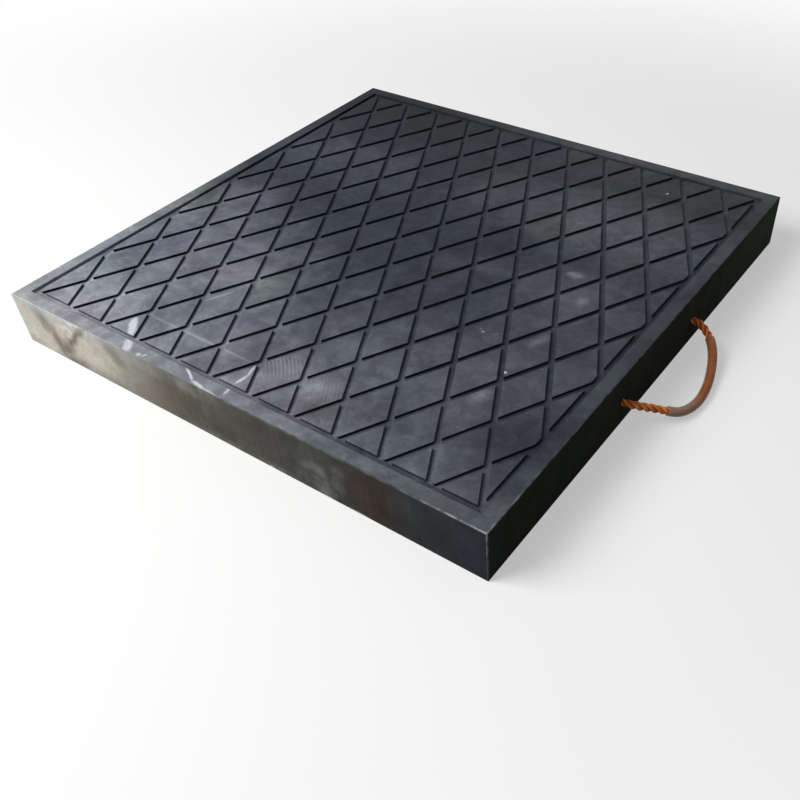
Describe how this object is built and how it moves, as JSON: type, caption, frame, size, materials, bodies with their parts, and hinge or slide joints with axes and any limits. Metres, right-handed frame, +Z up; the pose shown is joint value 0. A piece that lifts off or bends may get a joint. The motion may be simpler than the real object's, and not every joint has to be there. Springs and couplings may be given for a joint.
{
  "type": "crane outrigger pad",
  "caption": "Square black polyethylene load-spreading plate with a milled diamond tread on top and a rope handle with a hose grip at one side, set under a crane's outrigger foot.",
  "frame": {"origin": "centre of the plate's underside, on the ground", "axes": "+Z up, +X towards the side face with the rope handle, +Y along that side face"},
  "size_m": [1.0909, 1, 0.1],
  "materials": {
    "plate": "black UHMW polyethylene, milled and sawn, dusty and scuffed",
    "rope": "orange-brown three-strand twisted polypropylene rope, weathered",
    "hose": "translucent soft PVC hose, dulled"
  },
  "bodies": {
    "root": {"pad_body": "plate", "rope_handle": "rope", "grip_sleeve": "hose", "rope_knot_front": "rope", "rope_knot_rear": "rope"}
  },
  "joints": []
}
